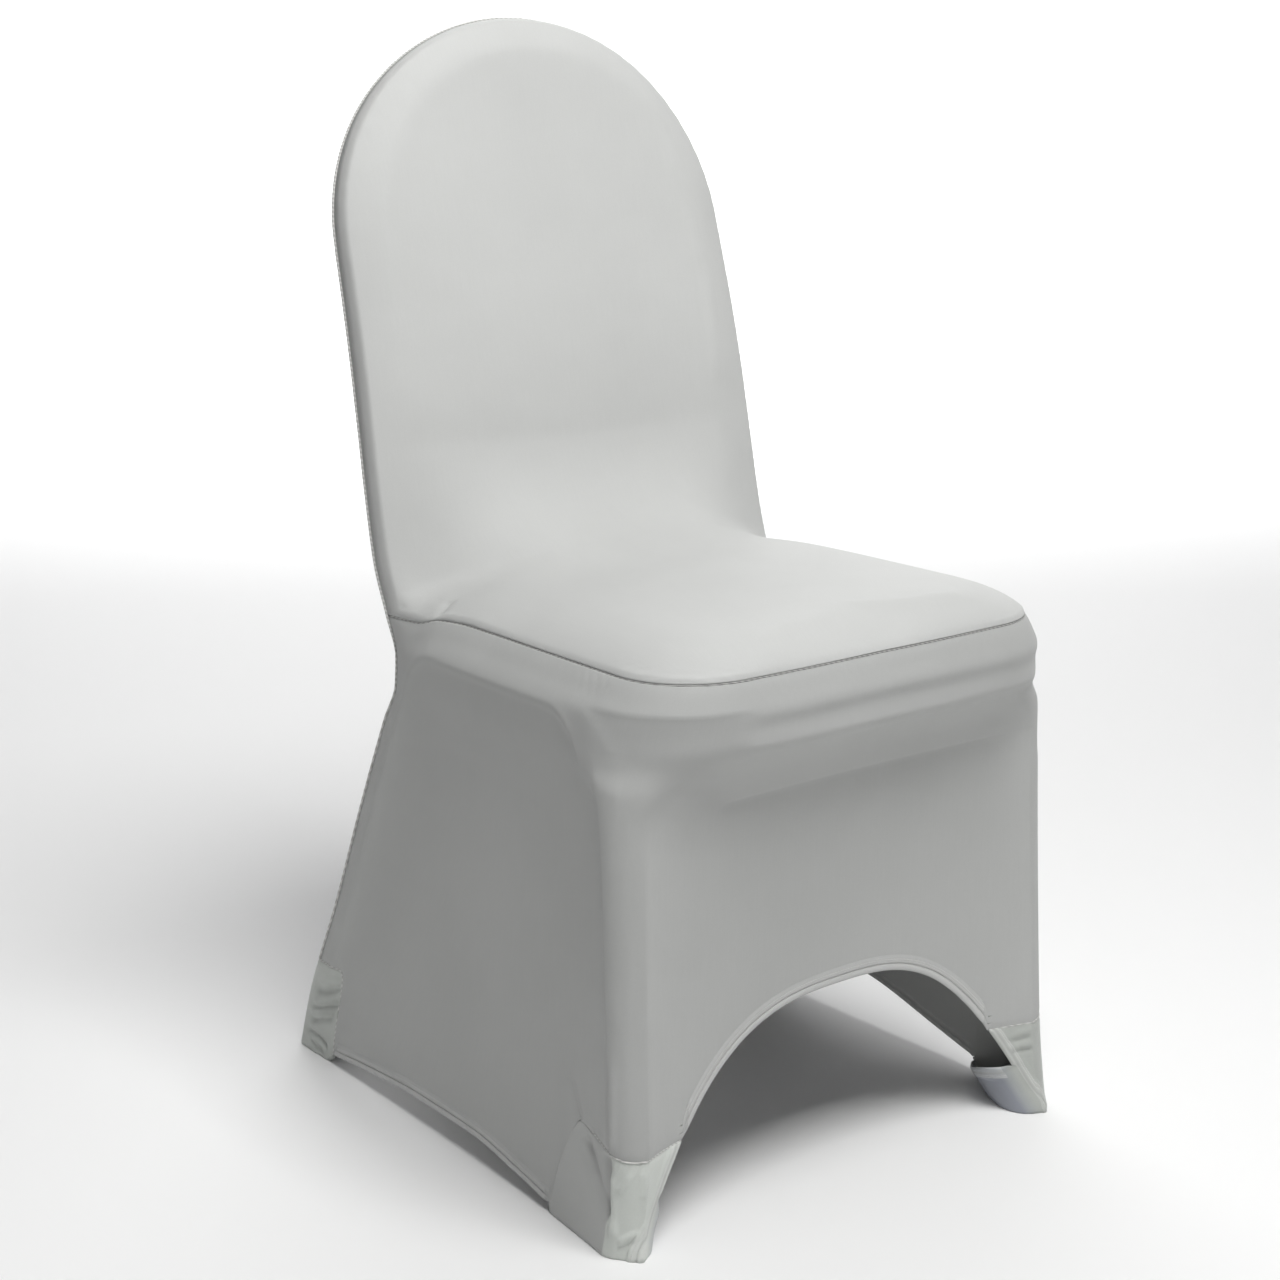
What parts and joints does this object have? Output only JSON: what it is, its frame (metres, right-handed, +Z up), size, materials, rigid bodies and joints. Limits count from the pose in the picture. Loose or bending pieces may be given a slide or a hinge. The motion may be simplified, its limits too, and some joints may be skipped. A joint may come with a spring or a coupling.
{
  "type": "chair cover",
  "caption": "Fitted stretch cover with a round-topped back, a seat, an arched skirt and foot pockets, hollow inside.",
  "frame": {"origin": "on the floor, under the middle of the cover", "axes": "+Z up, -Y towards the front of the seat, +X to the right as seen from the front"},
  "size_m": [0.4765, 0.5532, 0.9382],
  "materials": {
    "stretch_panel_knit": "silver grey stretch knit",
    "skirt_knit": "silver grey stretch knit",
    "rear_panel_knit": "silver grey stretch knit",
    "front_left_pocket": "smooth silver knit",
    "front_right_pocket": "smooth silver knit",
    "rear_left_pocket": "smooth silver knit",
    "rear_right_pocket": "smooth silver knit"
  },
  "bodies": {
    "root": {"back_and_seat_panel": "stretch_panel_knit", "skirt_panel": "skirt_knit", "rear_panel": "rear_panel_knit", "foot_pocket_front_left": "front_left_pocket", "foot_pocket_front_right": "front_right_pocket", "foot_pocket_rear_left": "rear_left_pocket", "foot_pocket_rear_right": "rear_right_pocket"}
  },
  "joints": []
}
